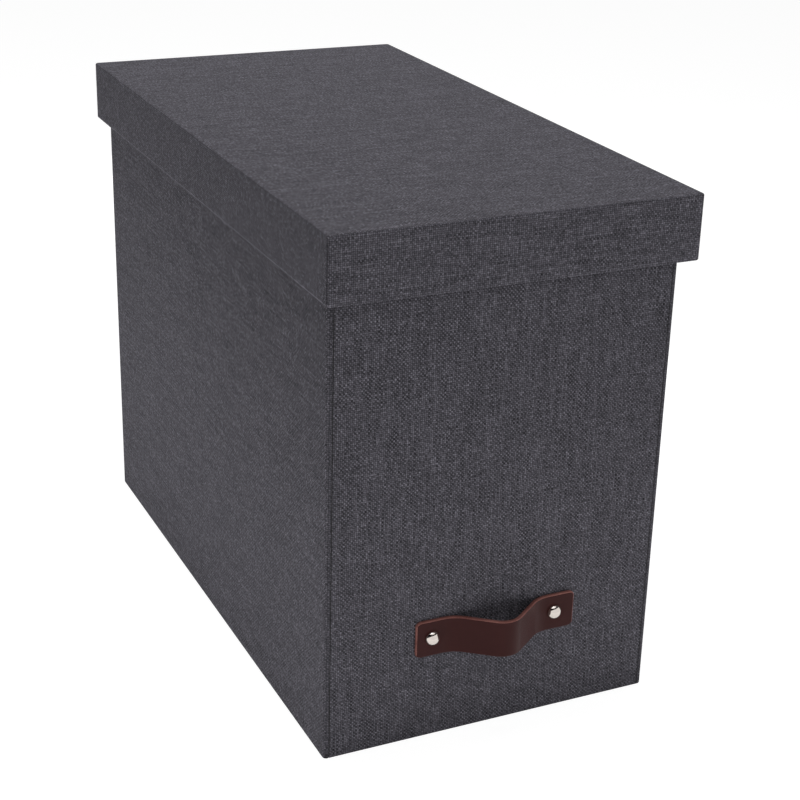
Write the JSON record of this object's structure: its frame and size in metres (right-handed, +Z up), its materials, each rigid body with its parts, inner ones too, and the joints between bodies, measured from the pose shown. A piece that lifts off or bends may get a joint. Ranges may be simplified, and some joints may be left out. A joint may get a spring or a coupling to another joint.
{
  "type": "hanging file box",
  "caption": "Cloth-covered board box for hanging files, with a lift-off lid, a riveted leather strap pull on the front and folders on steel rails.",
  "frame": {"origin": "centre of the box body's underside, on the surface it stands on", "axes": "+X to the right seen from the strap side, +Y to the back along the box's length, +Z up"},
  "size_m": [0.1878, 0.3612, 0.2665],
  "materials": {
    "cloth": "charcoal plain-weave book cloth with a light fleck",
    "greyboard": "raw board, dyed dark grey",
    "lining_paper": "matt black paper",
    "rail_steel": "zinc-plated sheet",
    "strap_leather": "smooth dark brown leather with a red-brown raw edge",
    "rivet_nickel": "polished nickel",
    "folder_card": "natural kraft card",
    "rod_steel": "plated strip",
    "clear_plastic": "clear",
    "insert_paper": "plain white"
  },
  "bodies": {
    "box": {"left_cover": "cloth", "right_cover": "cloth", "front_cover": "cloth", "back_cover": "cloth", "bottom_cover": "cloth", "bottom_board": "greyboard", "left_board": "greyboard", "right_board": "greyboard", "front_board": "greyboard", "back_board": "greyboard", "left_lining": "lining_paper", "right_lining": "lining_paper", "front_lining": "lining_paper", "back_lining": "lining_paper", "floor_lining": "lining_paper", "front_rail": "rail_steel", "back_rail": "rail_steel", "pull_strap": "strap_leather", "pull_rivets": "rivet_nickel", "rivet_caps": "rivet_nickel"},
    "lid": {"lid_cover": "cloth", "lid_top_board": "greyboard", "lid_left_board": "greyboard", "lid_right_board": "greyboard", "lid_front_board": "greyboard", "lid_back_board": "greyboard", "lid_lining": "lining_paper"},
    "file_1": {"file_1_folder": "folder_card", "file_1_rods": "rod_steel", "file_1_tab": "clear_plastic", "file_1_insert": "insert_paper"},
    "file_2": {"file_2_folder": "folder_card", "file_2_rods": "rod_steel", "file_2_tab": "clear_plastic", "file_2_insert": "insert_paper"},
    "file_3": {"file_3_folder": "folder_card", "file_3_rods": "rod_steel", "file_3_tab": "clear_plastic", "file_3_insert": "insert_paper"},
    "file_4": {"file_4_folder": "folder_card", "file_4_rods": "rod_steel", "file_4_tab": "clear_plastic", "file_4_insert": "insert_paper"},
    "file_5": {"file_5_folder": "folder_card", "file_5_rods": "rod_steel", "file_5_tab": "clear_plastic", "file_5_insert": "insert_paper"}
  },
  "joints": [
    {"name": "lid_lift", "type": "slide", "parent": "box", "child": "lid", "axis": [0, 0, 1], "range_m": [0, 0.25]},
    {"name": "file_1_slide", "type": "slide", "parent": "box", "child": "file_1", "axis": [1, 0, 0], "range_m": [-0.0042, 0.0042]},
    {"name": "file_2_slide", "type": "slide", "parent": "box", "child": "file_2", "axis": [1, 0, 0], "range_m": [-0.0042, 0.0042]},
    {"name": "file_3_slide", "type": "slide", "parent": "box", "child": "file_3", "axis": [1, 0, 0], "range_m": [-0.0042, 0.0042]},
    {"name": "file_4_slide", "type": "slide", "parent": "box", "child": "file_4", "axis": [1, 0, 0], "range_m": [-0.0042, 0.0042]},
    {"name": "file_5_slide", "type": "slide", "parent": "box", "child": "file_5", "axis": [1, 0, 0], "range_m": [-0.0042, 0.065]}
  ]
}
